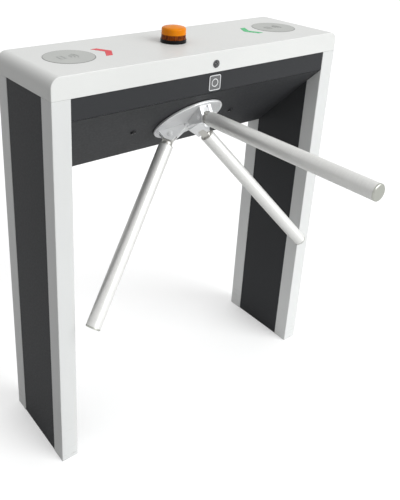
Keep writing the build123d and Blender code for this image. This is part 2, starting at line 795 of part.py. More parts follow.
with BuildPart() as index_roller:
    with BuildSketch(HUB.offset(ROLLER_TOP)):
        with Locations(ROLLER_POINT):
            Circle(ROLLER_R)
            Circle(ROLLER_AXLE_R + RUNNING, mode=Mode.SUBTRACT)
    extrude(amount=-ROLLER_THICK)
    chamfer(index_roller.edges().group_by(HUB_AXIS)[0], ROLLER_CHAMFER)
write(index_roller, "index_roller")

# ---- locking pawls, one for each direction, drawn released ----
PAWL_NOTCH = 60.0  # direction of the right pawl's notch, around the hub axis
PAWL_PIVOT = (45.0, 47.0)  # along and out from the notch
PAWL_SWING = 12.0
TOOTH_HALF = 4.5

NOTCH = turned(HUB, PAWL_NOTCH - 90)
pawl_origin = NOTCH.from_local_coords((*PAWL_PIVOT, 0))
PAWL = turned(Plane(origin=pawl_origin, x_dir=NOTCH.x_dir, z_dir=HUB.z_dir), -PAWL_SWING)

with BuildPart() as right_pawl:
    with BuildSketch(PAWL.offset(LOCK_TOP)):
        with BuildLine():
            Polyline(
                (-PAWL_PIVOT[0] - TOOTH_HALF, 15),
                (-PAWL_PIVOT[0] - TOOTH_HALF, -4),
                (-PAWL_PIVOT[0] + TOOTH_HALF, -4),
                (-PAWL_PIVOT[0] + TOOTH_HALF, 7),
                (-4, -8),
                (26, -4),
                (26, 6),
                (0, 9),
                close=True,
            )
        make_face()
        Circle(9.0)
        Circle(POST_R + RUNNING, mode=Mode.SUBTRACT)
    extrude(amount=-LOCK_THICK)
write(right_pawl, "right_pawl")

with BuildPart() as left_pawl:
    mirror(right_pawl.part, about=Plane.YZ)
write(left_pawl, "left_pawl")

# coil on a post beside each pawl's tail
COIL_R = 11.0
COIL_LENGTH = 30.0
COIL_POINT = (64.0, 57.0)
COIL_HEIGHT = LOCK_TOP - LOCK_THICK / 2
STAND = 10.0

with BuildPart() as lock_magnets:
    pole = NOTCH.from_local_coords((*COIL_POINT, COIL_HEIGHT))
    with BuildSketch(Plane(origin=pole, x_dir=NOTCH.x_dir, z_dir=NOTCH.y_dir)):
        Circle(COIL_R)
    extrude(amount=COIL_LENGTH)
    with BuildSketch(NOTCH.offset(PLATE_BACK)):
        with Locations((COIL_POINT[0], COIL_POINT[1] + COIL_LENGTH / 2)):
            Rectangle(STAND, STAND)
    extrude(amount=COIL_HEIGHT - PLATE_BACK)
    mirror(about=Plane.YZ)
write(lock_magnets, "lock_magnets")

with BuildPart() as pivot_posts:
    pawl_x, pawl_y, _ = HUB.to_local_coords(PAWL.origin)
    with BuildSketch(HUB.offset(PLATE_BACK)):
        with Locations((pawl_x, pawl_y), (-pawl_x, pawl_y)):
            Circle(POST_R)
    extrude(amount=LOCK_TOP - LOCK_THICK - 4 - PLATE_BACK)
    with BuildSketch(HUB.offset(PLATE_BACK)):
        with Locations(LEVER_PIVOT):
            Circle(POST_R)
    extrude(amount=LEVER_TOP - LEVER_THICK - 4 - PLATE_BACK)
    with BuildSketch(HUB.offset(PLATE_BACK)):
        with Locations((pawl_x, pawl_y), (-pawl_x, pawl_y), LEVER_PIVOT):
            RegularPolygon(9.0, 6)
    extrude(amount=-6.0)
write(pivot_posts, "pivot_posts")

# fork sensor that counts the notches of the lock disc as they pass
FORK_W = 16.0
FORK_ARM = 3.5
FORK_OPEN = 9.0
FORK_IN = 44.0
FORK_WEB = 53.0
FORK_OUT = 68.0

with BuildPart() as rotation_sensor:
    top = COIL_HEIGHT + FORK_OPEN / 2 + FORK_ARM
    with BuildSketch(HUB.offset(top)):
        with Locations((0, -(FORK_IN + FORK_OUT) / 2)):
            Rectangle(FORK_W, FORK_OUT - FORK_IN)
    extrude(amount=-FORK_OPEN - 2 * FORK_ARM)
    with BuildSketch(HUB.offset(COIL_HEIGHT + FORK_OPEN / 2)):
        with Locations((0, -(FORK_IN + FORK_WEB) / 2)):
            Rectangle(FORK_W, FORK_WEB - FORK_IN)
    extrude(amount=-FORK_OPEN, mode=Mode.SUBTRACT)
    with BuildSketch(HUB.offset(PLATE_BACK)):
        with Locations((0, -(FORK_OUT - 4))):
            Rectangle(FORK_W, 8)
    extrude(amount=top - PLATE_BACK)
write(rotation_sensor, "rotation_sensor")

# ---- arms: forged root with a tongue, tube and end cap ----
TONGUE_HALF = 9.1
NECK_R = 13.5
NECK_START = 106.5
COLLAR = 3.0
ARM_BORE_R = ARM_R - ARM_WALL
ROOT_SPIGOT_END = 150.0
ARM_CAP = 4.5
CAP_SPIGOT = 20.0
CAP_BEVEL = 1.5
COLLAR_BEVEL = 1.5
TUBE_START = ARM_START + COLLAR
TUBE_END = ARM_TIP - ARM_CAP

for side_plane, arm_name in zip(SIDES, ("front_arm", "left_arm", "right_arm")):
    along = turned(side_plane, ARM_ANGLE)  # x runs out along the arm
    arm_axis = Axis(along.origin, along.x_dir)

    with BuildPart() as arm_root:
        with BuildSketch(along):
            with Locations(((PIN_S + NECK_START + 4) / 2, 0)):
                Rectangle(NECK_START + 4 - PIN_S, 2 * TONGUE_R)
            with Locations((PIN_S, 0)):
                Circle(TONGUE_R)
        extrude(amount=TONGUE_HALF, both=True)
        with BuildSketch(along):
            with BuildLine():
                Polyline(
                    (NECK_START, 0),
                    (NECK_START, NECK_R),
                    (ARM_START, NECK_R),
                    (ARM_START, ARM_R - COLLAR_BEVEL),
                    (ARM_START + COLLAR_BEVEL, ARM_R),
                    (TUBE_START, ARM_R),
                    (TUBE_START, ARM_BORE_R - CONTACT),
                    (ROOT_SPIGOT_END, ARM_BORE_R - CONTACT),
                    (ROOT_SPIGOT_END, 0),
                    close=True,
                )
            make_face()
        revolve(axis=arm_axis)
        with BuildSketch(along):
            with Locations((PIN_S, 0)):
                Circle(PIN_HOLE_R + RUNNING)
        extrude(amount=TONGUE_HALF, both=True, mode=Mode.SUBTRACT)
    write(arm_root, f"{arm_name}_root")

    with BuildPart() as arm_tube:
        tube_plane = Plane(origin=along.origin, x_dir=along.y_dir, z_dir=along.x_dir)
        with BuildSketch(tube_plane.offset(TUBE_START)):
            Circle(ARM_R)
            Circle(ARM_BORE_R, mode=Mode.SUBTRACT)
        extrude(amount=TUBE_END - TUBE_START)
    write(arm_tube, f"{arm_name}_tube")

    with BuildPart() as arm_cap:
        with BuildSketch(along):
            with BuildLine():
                Polyline(
                    (TUBE_END - CAP_SPIGOT, 0),
                    (TUBE_END - CAP_SPIGOT, ARM_BORE_R - CONTACT),
                    (TUBE_END, ARM_BORE_R - CONTACT),
                    (TUBE_END, ARM_R),
                    (ARM_TIP - CAP_BEVEL, ARM_R),
                    (ARM_TIP, ARM_R - CAP_BEVEL),
                    (ARM_TIP, 0),
                    close=True,
                )
            make_face()
        revolve(axis=arm_axis)
    write(arm_cap, f"{arm_name}_cap")

# ---- electronics in the beam ----
BOARD = (170.0, 110.0, 1.6)
BOARD_CENTRE = (255.0, 850.0)
BOARD_BACK = 118.0
SUPPLY = (150.0, 36.0, 90.0)
SUPPLY_CENTRE_X = -270.0

with BuildPart() as control_board:
    with BuildSketch(Plane.XZ.offset(-BOARD_BACK)):
        with Locations(BOARD_CENTRE):
            Rectangle(BOARD[0], BOARD[1])
    extrude(amount=BOARD[2])
    with BuildSketch(Plane.XZ.offset(-BOARD_BACK)):
        with Locations(BOARD_CENTRE):
            with GridLocations(BOARD[0] - 12, BOARD[1] - 12, 2, 2):
                Circle(3.0)
    extrude(amount=BOARD_BACK - SKIN_BACK)
    with BuildSketch(Plane.XZ.offset(-BOARD_BACK + BOARD[2])):
        with Locations((BOARD_CENTRE[0], BOARD_CENTRE[1] - BOARD[1] / 2 + 8)):
            Rectangle(BOARD[0] - 30, 10)
        with Locations((BOARD_CENTRE[0], BOARD_CENTRE[1] + BOARD[1] / 2 - 18)):
            with GridLocations(26, 0, 4, 1):
                Rectangle(19, 16)
        with Locations(BOARD_CENTRE):
            Rectangle(24, 24)
    extrude(amount=9.0)
write(control_board, "control_board")

with BuildPart() as power_supply:
    with BuildSketch(Plane.XY.offset(SKIN_BOTTOM + RAIL)):
        with Locations((SUPPLY_CENTRE_X, SKIN_BACK - 6 - SUPPLY[1] / 2)):
            RectangleRounded(SUPPLY[0], SUPPLY[1], 1.5)
    extrude(amount=SUPPLY[2])
    slot_face = power_supply.faces().sort_by(Axis.Y)[0]
    with BuildSketch(Plane(slot_face)):
        with GridLocations(12, 26, 9, 2):
            SlotOverall(20, 4, rotation=90)
    extrude(amount=-1.2, mode=Mode.SUBTRACT)
write(power_supply, "power_supply")

# ---- lid ----
LID_BOTTOM = LID_SEAM + LID_GAP
LID_EDGE_R = 2.0
READER_X = 332.0
READER_R = 61.0
FIT_GAP = 0.3
ARROW_TIP_X = 217.0
ARROW_SHOULDER_X = 236.0
ARROW_END_IN_X = 237.0
ARROW_END_OUT_X = 255.0
ARROW_HALF = 36.0
BEACON_X = -31.0
BEACON_STUD_R = 11.7
BEACON_HOLE_R = 12.0
LOCK_Z = 1019.0
LOCK_BODY_R = 8.4
LOCK_HOLE_R = 8.7


def chevron(side):
    """Outline of a direction arrow that points to the middle of the lid."""
    points = (
        (ARROW_TIP_X, 0),
        (ARROW_END_IN_X, ARROW_HALF),
        (ARROW_END_OUT_X, ARROW_HALF),
        (ARROW_SHOULDER_X, 0),
        (ARROW_END_OUT_X, -ARROW_HALF),
        (ARROW_END_IN_X, -ARROW_HALF),
    )
    Polyline([(side * x, y) for x, y in points], close=True)


def lid_profile(inset):
    """End profile of the lid, rounded over at the two ends, drawn on the XZ plane."""
    high = HEIGHT - inset
    wide = OUTER_X - inset
    radius = LID_END_R - inset
    Line((-wide, LID_BOTTOM), (-wide, high - radius))
    RadiusArc((-wide, high - radius), (-wide + radius, high), radius)
    Line((-wide + radius, high), (wide - radius, high))
    RadiusArc((wide - radius, high), (wide, high - radius), radius)
    Line((wide, high - radius), (wide, LID_BOTTOM))
    Line((wide, LID_BOTTOM), (-wide, LID_BOTTOM))


with BuildPart() as lid_shell:
    with BuildSketch(Plane.XZ):
        with BuildLine():
            lid_profile(0)
        make_face()
    extrude(amount=DEPTH / 2, both=True)
    rims = lid_shell.edges().filter_by(lambda e: abs(abs(e.center().Y) - DEPTH / 2) < 0.01)
    fillet(rims.filter_by(lambda e: e.center().Z > LID_BOTTOM + 1), LID_EDGE_R)
    with BuildSketch(Plane.XZ):
        with BuildLine():
            lid_profile(LID_WALL)
        make_face()
    extrude(amount=DEPTH / 2 - LID_WALL, both=True, mode=Mode.SUBTRACT)
    with BuildSketch(Plane.XY.offset(HEIGHT)):
        with Locations((-READER_X, 0), (READER_X, 0)):
            Circle(READER_R + FIT_GAP)
        with Locations((BEACON_X, 0)):
            Circle(BEACON_HOLE_R)
        for side in (-1, 1):
            with BuildLine():
                chevron(side)
            make_face()
    extrude(amount=-LID_WALL, mode=Mode.SUBTRACT)
    with BuildSketch(Plane.XZ.offset(-FRONT_Y)):
        with Locations((0, LOCK_Z)):
            Circle(LOCK_HOLE_R)
    extrude(amount=-LID_WALL, mode=Mode.SUBTRACT)
write(lid_shell, "lid_shell")

COVER_PROUD = 0.5
READER_FLANGE_R = 68.0
READER_FLANGE = 3.0
READER_ROUND = 0.4
SHEET_UNDER = HEIGHT - LID_WALL
SYMBOL_RAISE = 0.5
SYMBOL_STROKE = 3.2
WAVE_RADII = (11.0, 19.0, 27.0)

with BuildPart() as reader_covers:
    reader_points = [(-READER_X, 0), (READER_X, 0)]
    with BuildSketch(Plane.XY.offset(SHEET_UNDER)):
        with Locations(reader_points):
            Circle(READER_FLANGE_R)
    extrude(amount=-READER_FLANGE)
    with BuildSketch(Plane.XY.offset(SHEET_UNDER)):
        with Locations(reader_points):
            Circle(READER_R)
    extrude(amount=LID_WALL + COVER_PROUD)
    fillet(reader_covers.edges().group_by(Axis.Z)[-1], READER_ROUND)
    with BuildSketch(Plane.XY.offset(HEIGHT + COVER_PROUD)):
        for x, _ in reader_points:
            for radius in WAVE_RADII:
                with BuildLine():
                    wave = CenterArc((x - 6, 0), radius, -38, 76)
                SlotArc(wave, SYMBOL_STROKE)
            with Locations((x - 20, 0)):
                RectangleRounded(15, 26, 2.5)
                RectangleRounded(9, 20, 1.0, mode=Mode.SUBTRACT)
    extrude(amount=SYMBOL_RAISE)
write(reader_covers, "reader_covers")

LENS_PLATE = (52.0, 88.0, 2.0)
LENS_PROUD = 0.3

for side, colour in ((-1, "red"), (1, "green")):
    with BuildPart() as arrow_lens:
        with BuildSketch(Plane.XY.offset(SHEET_UNDER)):
            with BuildLine():
                chevron(side)
            make_face()
            offset(amount=-FIT_GAP, kind=Kind.INTERSECTION, mode=Mode.REPLACE)
        extrude(amount=LID_WALL + LENS_PROUD)
        with BuildSketch(Plane.XY.offset(SHEET_UNDER)):
            with Locations((side * (ARROW_TIP_X + ARROW_END_OUT_X) / 2, 0)):
                Rectangle(LENS_PLATE[0], LENS_PLATE[1])
        extrude(amount=-LENS_PLATE[2])
    write(arrow_lens, f"{colour}_arrow_lens")

BEACON_R = 33.0
BEACON_BASE_TOP = 1059.0
BEACON_TOP = 1095.0
BEACON_LENS_R = 32.0
BEACON_WALL = 2.5
BEACON_BROW = 4.0
BEACON_BROW_R = 7.0
BEACON_NUT_R = 18.0
BEACON_NUT = 6.0

with BuildPart() as beacon_base:
    with BuildSketch(Plane.XZ):
        with BuildLine():
            Polyline(
                (BEACON_X, SHEET_UNDER - BEACON_NUT),
                (BEACON_X + BEACON_NUT_R, SHEET_UNDER - BEACON_NUT),
                (BEACON_X + BEACON_NUT_R, SHEET_UNDER),
                (BEACON_X + BEACON_STUD_R, SHEET_UNDER),
                (BEACON_X + BEACON_STUD_R, HEIGHT),
                (BEACON_X + BEACON_R, HEIGHT),
                (BEACON_X + BEACON_R, BEACON_BASE_TOP - 1),
                (BEACON_X + BEACON_R - 1, BEACON_BASE_TOP),
                (BEACON_X, BEACON_BASE_TOP),
                close=True,
            )
        make_face()
    revolve(axis=Axis((BEACON_X, 0, 0), (0, 0, 1)))
write(beacon_base, "beacon_base")

with BuildPart() as beacon_lens:
    with BuildSketch(Plane.XZ):
        with BuildLine():
            Polyline(
                (BEACON_X, BEACON_BASE_TOP),
                (BEACON_X + BEACON_LENS_R, BEACON_BASE_TOP),
                (BEACON_X + BEACON_LENS_R - 0.6, BEACON_TOP - BEACON_BROW),
                (BEACON_X, BEACON_TOP),
                close=True,
            )
        make_face()
    revolve(axis=Axis((BEACON_X, 0, 0), (0, 0, 1)))
    fillet(beacon_lens.edges().filter_by(GeomType.CIRCLE).sort_by(Axis.Z)[-1], BEACON_BROW_R)
    with BuildSketch(Plane.XY.offset(BEACON_BASE_TOP)):
        with Locations((BEACON_X, 0)):
            Circle(BEACON_LENS_R - BEACON_WALL - 0.6)
    extrude(amount=BEACON_TOP - BEACON_BROW_R - BEACON_BASE_TOP, mode=Mode.SUBTRACT)
write(beacon_lens, "beacon_lens")

# ---- cam lock in the front of the lid, drawn open; the rotor carries the cam and its hooked foot ----
LOCK_FACE_R = 10.0
LOCK_FACE = 1.6
LOCK_CHAMFER = 0.6
LOCK_BACK_Y = -110.0
ROTOR_R = 6.4
ROTOR_PROUD = 0.6
ROTOR_BACK_Y = -108.0
KEYWAY = (2.0, 9.0, 7.0)
CAM_HUB_R = 7.9
CAM_PLATE = 3.0
CAM_W = 12.0
CAM_LENGTH = 34.0
CAM_FOOT_Y = -124.0

with BuildPart() as lock_barrel:
    with BuildSketch(Plane.XZ.offset(-FRONT_Y)):
        with Locations((0, LOCK_Z)):
            Circle(LOCK_FACE_R)
    extrude(amount=LOCK_FACE)
    chamfer(lock_barrel.edges().group_by(Axis.Y)[0], LOCK_CHAMFER)
    with BuildSketch(Plane.XZ.offset(-FRONT_Y)):
        with Locations((0, LOCK_Z)):
            Circle(LOCK_BODY_R)
    extrude(amount=FRONT_Y - LOCK_BACK_Y)
    with BuildSketch(Plane.XZ.offset(-FRONT_Y + LOCK_FACE)):
        with Locations((0, LOCK_Z)):
            Circle(ROTOR_R + RUNNING)
    extrude(amount=-LOCK_FACE + FRONT_Y - LOCK_BACK_Y, mode=Mode.SUBTRACT)
write(lock_barrel, "lock_barrel")

with BuildPart() as lock_rotor:
    rotor_front = -FRONT_Y + LOCK_FACE + ROTOR_PROUD
    with BuildSketch(Plane.XZ.offset(rotor_front)):
        with Locations((0, LOCK_Z)):
            Circle(ROTOR_R)
    extrude(amount=-rotor_front - ROTOR_BACK_Y)
    with BuildSketch(Plane.XZ.offset(rotor_front)):
        with Locations((0, LOCK_Z)):
            Rectangle(KEYWAY[0], KEYWAY[1])
    extrude(amount=-KEYWAY[2], mode=Mode.SUBTRACT)
    with BuildSketch(Plane.XZ.offset(-ROTOR_BACK_Y)):
        with Locations((0, LOCK_Z)):
            Circle(CAM_HUB_R)
        with Locations((CAM_LENGTH / 2, LOCK_Z)):
            Rectangle(CAM_LENGTH, CAM_W)
    extrude(amount=-CAM_PLATE)
    with BuildSketch(Plane.XZ.offset(-ROTOR_BACK_Y)):
        with Locations((CAM_LENGTH - CAM_PLATE / 2, LOCK_Z)):
            Rectangle(CAM_PLATE, CAM_W)
    extrude(amount=ROTOR_BACK_Y - CAM_FOOT_Y)
write(lock_rotor, "lock_rotor")
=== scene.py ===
import math

import bmesh
import bpy
from mathutils import Matrix, Vector


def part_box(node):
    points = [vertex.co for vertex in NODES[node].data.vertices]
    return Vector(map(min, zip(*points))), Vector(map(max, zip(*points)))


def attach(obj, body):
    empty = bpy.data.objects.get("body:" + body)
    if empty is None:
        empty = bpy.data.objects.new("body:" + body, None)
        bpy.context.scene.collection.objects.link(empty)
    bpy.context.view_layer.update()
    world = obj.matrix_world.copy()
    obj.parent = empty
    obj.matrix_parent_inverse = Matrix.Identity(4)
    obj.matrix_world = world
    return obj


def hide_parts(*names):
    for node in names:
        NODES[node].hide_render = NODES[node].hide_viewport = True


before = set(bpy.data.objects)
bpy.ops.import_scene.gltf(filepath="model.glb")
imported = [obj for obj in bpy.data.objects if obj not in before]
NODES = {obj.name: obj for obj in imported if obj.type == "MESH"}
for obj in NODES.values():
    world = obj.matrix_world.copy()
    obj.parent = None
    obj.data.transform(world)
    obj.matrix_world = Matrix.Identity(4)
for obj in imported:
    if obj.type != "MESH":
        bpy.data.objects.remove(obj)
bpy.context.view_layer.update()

UP = (0.0, 0.0, 1.0)
INTO_CABINET = (0.0, 1.0, 0.0)  # from the front to the back

# Where things are, in metres. The hub axis leans 45 degrees down towards -Y.
HUB_POINT = (0.0, -0.009, 0.875)
HUB_AXIS = (0.0, -0.70710678, -0.70710678)
ARM_AXES = {
    "front_arm": (0.0, -1.0, 0.0),
    "left_arm": (-0.61237244, -0.25, -0.75),
    "right_arm": (0.61237244, -0.25, -0.75),
}
LID_TOP = 1.05
BEACON_X = -0.031
READER_X = 0.332  # from the middle to each reader field
READER_R = 0.061
LOCK_FACE = (0.0, -0.12, 1.019)
BADGE_FIELD_Y = -0.1311  # the sunk field lies behind this, the rim and ring stand before it

# How metallic the dull metals are: a satin face scatters much of its light.
TUBE_METAL = 0.42
SATIN_METAL = 0.45
FORGED_METAL = 0.7


class Graph:
    """A material's node tree, with short ways to add what the finishes below share."""

    def __init__(self, name):
        self.material = bpy.data.materials.new(name)
        self.material.use_nodes = True
        self.tree = self.material.node_tree
        self.tree.nodes.clear()
        self.out = self.tree.nodes.new("ShaderNodeOutputMaterial")
        self.point = self.add("ShaderNodeTexCoord").outputs["Object"]

    def add(self, kind, inputs=None, **settings):
        made = self.tree.nodes.new(kind)
        for key, value in settings.items():
            setattr(made, key, value)
        for key, value in (inputs or {}).items():
            if isinstance(value, bpy.types.NodeSocket):
                self.tree.links.new(value, made.inputs[key])
            else:
                made.inputs[key].default_value = value
        return made

    def noise(self, scale, detail=3.0, rough=0.5, at=None):
        inputs = {"Vector": at or self.point, "Scale": scale, "Detail": detail, "Roughness": rough}
        return self.add("ShaderNodeTexNoise", inputs).outputs["Fac"]

    def cells(self, scale, at=None, feature="F1"):
        inputs = {"Vector": at or self.point, "Scale": scale}
        return self.add("ShaderNodeTexVoronoi", inputs, feature=feature).outputs["Distance"]

    def remap(self, value, low, high, to_low=0.0, to_high=1.0, smooth=False):
        made = self.add("ShaderNodeMapRange", {0: value, 1: low, 2: high, 3: to_low, 4: to_high})
        if smooth:
            made.interpolation_type = "SMOOTHSTEP"
        return made.outputs[0]

    def sums(self, operation, first, second=0.0, clamp=False):
        made = self.add("ShaderNodeMath", {0: first, 1: second}, operation=operation)
        made.use_clamp = clamp
        return made.outputs[0]

    def mix(self, factor, first, second, blend="MIX"):
        made = self.add("ShaderNodeMix", data_type="RGBA", blend_type=blend)
        for index, value in ((0, factor), (6, first), (7, second)):
            if isinstance(value, bpy.types.NodeSocket):
                self.tree.links.new(value, made.inputs[index])
            elif index == 0:
                made.inputs[0].default_value = value
            else:
                made.inputs[index].default_value = (*value, 1.0)
        return made.outputs[2]

    def part_of(self, axis, origin=(0.0, 0.0, 0.0)):
        """Distance from origin along a direction."""
        moved = self.add("ShaderNodeVectorMath", {0: self.point, 1: origin}, operation="SUBTRACT")
        inputs = {0: moved.outputs["Vector"], 1: axis}
        return self.add("ShaderNodeVectorMath", inputs, operation="DOT_PRODUCT").outputs["Value"]

    def radius_from(self, axis, origin):
        """Distance from the line through origin along axis."""
        moved = self.add("ShaderNodeVectorMath", {0: self.point, 1: origin}, operation="SUBTRACT")
        inputs = {0: moved.outputs["Vector"], 1: axis}
        across = self.add("ShaderNodeVectorMath", inputs, operation="CROSS_PRODUCT")
        inputs = {0: across.outputs["Vector"]}
        return self.add("ShaderNodeVectorMath", inputs, operation="LENGTH").outputs["Value"]

    def vector(self, x=0.0, y=0.0, z=0.0):
        return self.add("ShaderNodeCombineXYZ", {0: x, 1: y, 2: z}).outputs[0]

    def scaled(self, x, y, z):
        """The point with each direction stretched, for marks that run one way."""
        made = self.add("ShaderNodeVectorMath", {0: self.point, 1: (x, y, z)}, operation="MULTIPLY")
        return made.outputs["Vector"]

    def edges(self, radius, low=0.02, high=0.25):
        """1 along outside and inside corners, 0 on flat faces."""
        bevel = self.add("ShaderNodeBevel", {"Radius": radius}, samples=4)
        plain = self.add("ShaderNodeNewGeometry").outputs["Normal"]
        inputs = {0: bevel.outputs["Normal"], 1: plain}
        even = self.add("ShaderNodeVectorMath", inputs, operation="DOT_PRODUCT").outputs["Value"]
        return self.remap(self.sums("SUBTRACT", 1.0, even), low, high)

    def soft_edge(self, radius):
        return self.add("ShaderNodeBevel", {"Radius": radius}, samples=4).outputs["Normal"]

    def bump(self, height, distance, strength=1.0, normal=None):
        inputs = {"Height": height, "Distance": distance, "Strength": strength}
        if normal is not None:
            inputs["Normal"] = normal
        return self.add("ShaderNodeBump", inputs).outputs["Normal"]

    def finish(self, colour, roughness, metallic=0.0, normal=None, **constants):
        shader = self.add("ShaderNodeBsdfPrincipled")
        linked = {
            "Base Color": colour, "Roughness": roughness, "Metallic": metallic, "Normal": normal,
        }
        for key, value in linked.items():
            if isinstance(value, bpy.types.NodeSocket):
                self.tree.links.new(value, shader.inputs[key])
            elif key == "Base Color":
                shader.inputs[key].default_value = (*value, 1.0)
            elif value is not None:
                shader.inputs[key].default_value = value
        for key, value in constants.items():
            shader.inputs[key.replace("_", " ")].default_value = value
        self.tree.links.new(shader.outputs[0], self.out.inputs[0])
        return self.material


def shade(colour, factor):
    return tuple(channel * factor for channel in colour)


def powder_coat(name, colour, rough, grain, scuff, edge_wear_and_highlight, gleam=0.5):
    """Sprayed coat: fine orange peel, uneven gloss, edges lightened partly as wear from rubbing and
    partly as painted highlight, and scuffs near the floor.
    """
    g = Graph(name)
    cloud = g.noise(2.6, 4.0, 0.55)
    peel = g.noise(grain, 2.0, 0.6)
    ripple = g.noise(grain * 0.22, 3.0, 0.5)
    base = g.mix(g.remap(cloud, 0.3, 0.7), shade(colour, 0.965), shade(colour, 1.025))
    base = g.mix(g.remap(peel, 0.35, 0.65, 0.0, 0.35), base, shade(colour, 0.93))
    # Edges lightened in patches: partly wear from rubbing, partly a painted highlight along the
    # corners.
    worn_and_lit_edges = g.sums("MULTIPLY", g.edges(0.0012), g.remap(g.noise(38.0), 0.42, 0.62))
    base = g.mix(g.sums("MULTIPLY", worn_and_lit_edges, 0.55), base, edge_wear_and_highlight)
    height = g.part_of(UP)
    low = g.remap(height, 0.0, 0.16, 1.0, 0.0)
    kicked = g.remap(g.noise(1.0, 5.0, 0.7, g.scaled(22.0, 22.0, 150.0)), 0.56, 0.70)
    kicked = g.sums("MULTIPLY", kicked, g.sums("POWER", low, 1.6))
    base = g.mix(g.sums("MULTIPLY", kicked, 0.5), base, scuff)
    gloss = g.remap(ripple, 0.3, 0.7, rough - 0.05, rough + 0.06)
    gloss = g.sums("ADD", gloss, g.sums("MULTIPLY", kicked, 0.18), clamp=True)
    normal = g.bump(peel, 0.00006, 0.6, g.soft_edge(0.0006))
    normal = g.bump(ripple, 0.0001, 0.35, normal)
    return g.finish(base, gloss, 0.0, normal, IOR=1.48, Specular_IOR_Level=gleam)


def sheet_metal(name, colour, rough, spangle=90.0):
    """Rolled and plated sheet: spangle, roll lines, dull blotches and cut edges lightened as
    painted highlight.
    """
    g = Graph(name)
    flakes = g.cells(spangle)
    blotch = g.noise(9.0, 5.0, 0.6)
    lines = g.noise(1.0, 3.0, 0.6, g.scaled(6.0, 900.0, 900.0))
    base = g.mix(g.remap(flakes, 0.0, 0.9), shade(colour, 0.88), shade(colour, 1.06))
    base = g.mix(g.remap(blotch, 0.45, 0.75, 0.0, 0.5), base, shade(colour, 0.74))
    # Painted highlight: edges lighter than the sheet.
    base = g.mix(g.sums("MULTIPLY", g.edges(0.001), 0.6), base, shade(colour, 1.2))
    gloss = g.remap(blotch, 0.3, 0.7, rough - 0.06, rough + 0.12)
    normal = g.bump(lines, 0.00005, 0.4, g.soft_edge(0.0005))
    return g.finish(base, gloss, 1.0, normal)


def turned_metal(
    name, colour, rough, axis, origin, grooves=5200.0, depth=0.00003, cool=None, metal=1.0
):
    """Metal finished on a lathe about one axis: fine rings, handling haze and corners lightened as
    painted highlight.
    """
    g = Graph(name)
    radius = g.radius_from(axis, origin)
    along = g.part_of(axis, origin)
    ring = g.noise(grooves, 2.0, 0.6, g.vector(radius, along))
    haze = g.noise(14.0, 4.0, 0.6)
    base = g.mix(g.remap(ring, 0.35, 0.65), shade(colour, 0.94), shade(colour, 1.04))
    base = g.mix(g.remap(haze, 0.45, 0.8, 0.0, 0.4), base, cool or shade(colour, 0.82))
    # Painted highlight: corners near white.
    base = g.mix(g.sums("MULTIPLY", g.edges(0.0009), 0.7), base, (0.95, 0.95, 0.94))
    gloss = g.remap(haze, 0.3, 0.72, rough - 0.04, rough + 0.09)
    normal = g.bump(ring, depth, 0.5, g.soft_edge(0.0005))
    return g.finish(base, gloss, metal, normal)


def satin_tube(name, axis):
    """Satin tube: belt marks around it, faint hand smears along it."""
    g = Graph(name)
    direction = Vector(axis)
    side = direction.cross(Vector((0.0, 0.0, 1.0))).normalized()
    other = direction.cross(side)
    along = g.part_of(tuple(direction), HUB_POINT)
    across = g.part_of(tuple(side), HUB_POINT)
    up = g.part_of(tuple(other), HUB_POINT)

    def stretched(lengthwise, crosswise):
        ways = ((along, lengthwise), (across, crosswise), (up, crosswise))
        return g.vector(*(g.sums("MULTIPLY", way, times) for way, times in ways))

    marks = g.noise(1.0, 3.0, 0.65, stretched(2600.0, 55.0))
    hands = g.noise(1.0, 4.0, 0.6, stretched(7.0, 42.0))
    base = g.mix(g.remap(marks, 0.32, 0.68), (0.70, 0.70, 0.685), (0.80, 0.80, 0.78))
    base = g.mix(g.remap(hands, 0.5, 0.8, 0.0, 0.3), base, (0.65, 0.65, 0.63))
    gloss = g.remap(hands, 0.3, 0.75, 0.34, 0.46)
    gloss = g.sums("ADD", gloss, g.remap(marks, 0.3, 0.7, -0.02, 0.02))
    normal = g.bump(marks, 0.00003, 0.5, g.soft_edge(0.0004))
    return g.finish(base, gloss, TUBE_METAL, normal)


def moulded(name, colour, rough, grain=1400.0, **constants):
    """Moulded plastic or rubber with a fine spark-eroded grain and corners lightened as painted
    highlight.
    """
    g = Graph(name)
    fine = g.noise(grain, 2.0, 0.6)
    cloud = g.noise(18.0, 3.0, 0.5)
    base = g.mix(g.remap(cloud, 0.3, 0.7), shade(colour, 0.92), shade(colour, 1.05))
    # Painted highlight: corners half again as light as the face.
    base = g.mix(g.sums("MULTIPLY", g.edges(0.0008), 0.35), base, shade(colour, 1.5))
    gloss = g.remap(cloud, 0.3, 0.7, rough - 0.05, rough + 0.05)
    normal = g.bump(fine, 0.00006, 0.6, g.soft_edge(0.0004))
    return g.finish(base, gloss, 0.0, normal, **constants)


def cast_metal(name):
    """Sand-cast aluminium: pitted skin with machined corners, lightened as painted highlight."""
    g = Graph(name)
    pits = g.cells(420.0)
    skin = g.noise(160.0, 4.0, 0.65)
    base = g.mix(g.remap(skin, 0.3, 0.7), (0.42, 0.43, 0.44), (0.56, 0.57, 0.58))
    # Painted highlight: corners lighter than the skin.
    base = g.mix(g.edges(0.0012), base, (0.78, 0.79, 0.80))
    gloss = g.remap(skin, 0.3, 0.7, 0.48, 0.66)
    normal = g.bump(skin, 0.00025, 0.6, g.soft_edge(0.0006))
    normal = g.bump(g.remap(pits, 0.0, 0.35), 0.0001, 0.5, normal)
    return g.finish(base, gloss, 1.0, normal)


